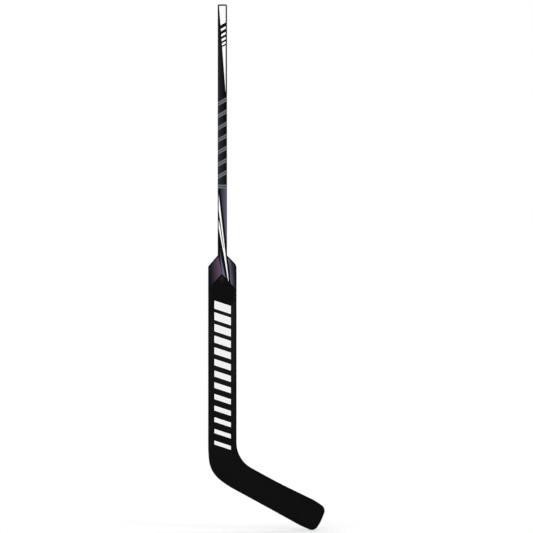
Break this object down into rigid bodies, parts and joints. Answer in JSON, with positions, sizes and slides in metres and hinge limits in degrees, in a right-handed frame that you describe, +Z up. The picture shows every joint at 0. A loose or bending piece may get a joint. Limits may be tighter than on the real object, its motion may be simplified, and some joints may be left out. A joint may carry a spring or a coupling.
{
  "type": "hockey goalie stick",
  "caption": "Upright composite ice hockey goalie stick: straight hollow shaft, wide flat paddle and a curved blade that falls away to the toe side.",
  "frame": {"origin": "on the shaft's centre line at the neck, where the shaft meets the paddle and the blocker hand grips", "axes": "+Z up the shaft to the butt end, +X across the stick to the side the blade's toe is on, -Y out of the front face"},
  "size_m": [0.3646, 0.0353, 1.6448],
  "materials": {
    "shaft_laminate": "satin",
    "face_laminate": "satin",
    "edge_laminate": "satin",
    "web_laminate": "satin",
    "core_foam": "matte",
    "dense_foam": "matte",
    "cap_rubber": "matte"
  },
  "bodies": {
    "root": {"shaft_tube": "shaft_laminate", "butt_end_cap": "cap_rubber", "tongue_end_plug": "core_foam", "paddle_front_skin": "face_laminate", "paddle_back_skin": "face_laminate", "paddle_heel_edge": "edge_laminate", "paddle_throat_edge": "edge_laminate", "paddle_core_heel_side": "core_foam", "paddle_core_throat_side": "core_foam", "paddle_core_centre": "core_foam", "paddle_web_heel_side": "web_laminate", "paddle_web_throat_side": "web_laminate", "heel_block": "dense_foam", "blade_front_skin": "face_laminate", "blade_back_skin": "face_laminate", "blade_core_upper": "core_foam", "blade_core_lower": "core_foam", "blade_web": "web_laminate", "blade_bottom_edge": "edge_laminate", "blade_top_edge": "edge_laminate"}
  },
  "joints": []
}
